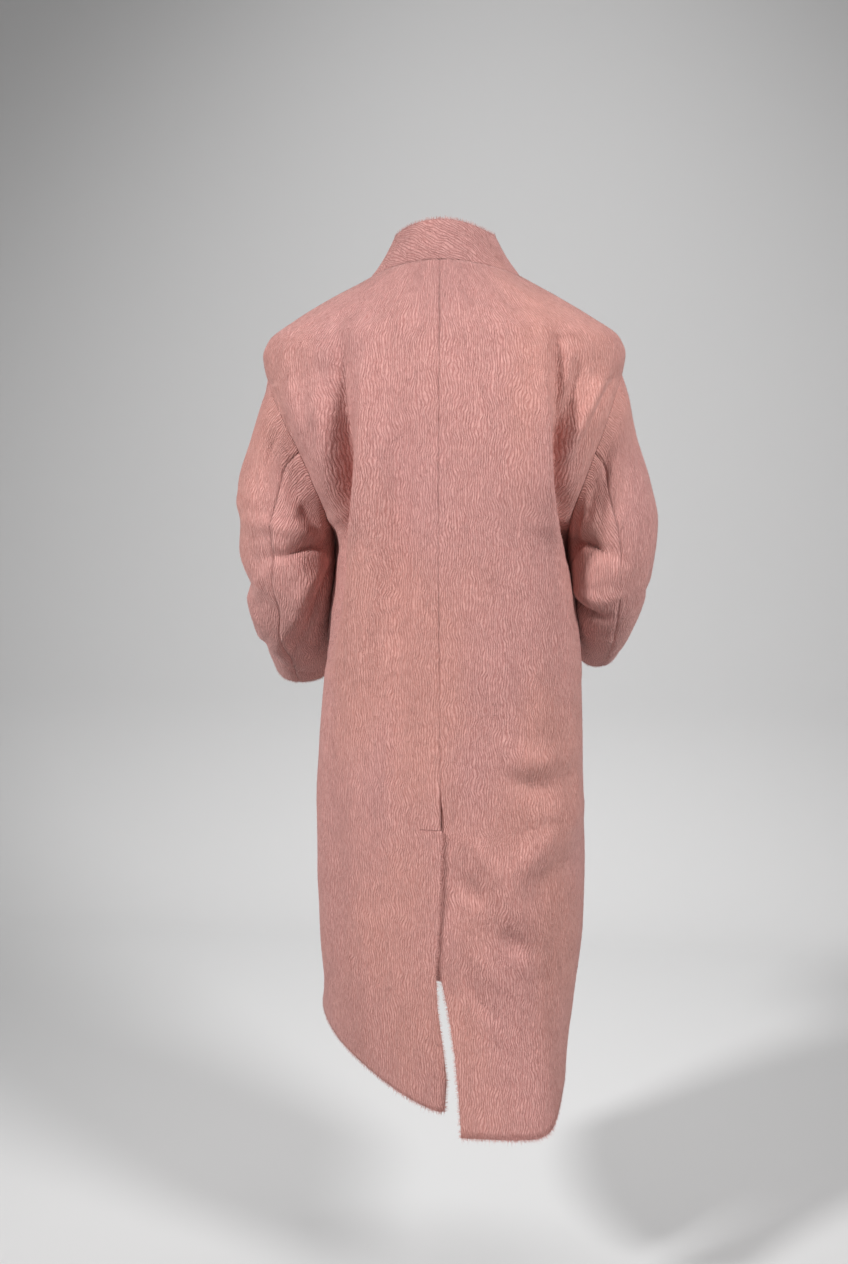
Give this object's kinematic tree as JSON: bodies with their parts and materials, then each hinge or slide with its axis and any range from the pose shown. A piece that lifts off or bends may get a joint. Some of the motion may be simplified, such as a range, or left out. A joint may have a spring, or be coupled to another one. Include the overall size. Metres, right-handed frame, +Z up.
{
  "type": "double-breasted coat",
  "caption": "Long oversized double-breasted wool coat with a stand collar, padded shoulders, two-piece sleeves and an open back vent.",
  "frame": {"origin": "the middle of the wearer's shoulder line, level with the base of the neck", "axes": "+Z up, +X towards the wearer's left, -Y towards the wearer's front"},
  "size_m": [0.5944, 0.4201, 1.2558],
  "materials": {
    "coat_cloth": "dusty pink brushed wool and mohair coating with a long wavy nap",
    "buttons": "dark rose, softly polished"
  },
  "bodies": {
    "root": {"back_left": "coat_cloth", "back_right": "coat_cloth", "front_left": "coat_cloth", "front_right": "coat_cloth", "collar": "coat_cloth", "top_sleeve_left": "coat_cloth", "top_sleeve_right": "coat_cloth", "under_sleeve_left": "coat_cloth", "under_sleeve_right": "coat_cloth", "button_edge_1": "buttons", "button_edge_2": "buttons", "button_edge_3": "buttons", "button_inner_1": "buttons", "button_inner_2": "buttons", "button_inner_3": "buttons"}
  },
  "joints": []
}
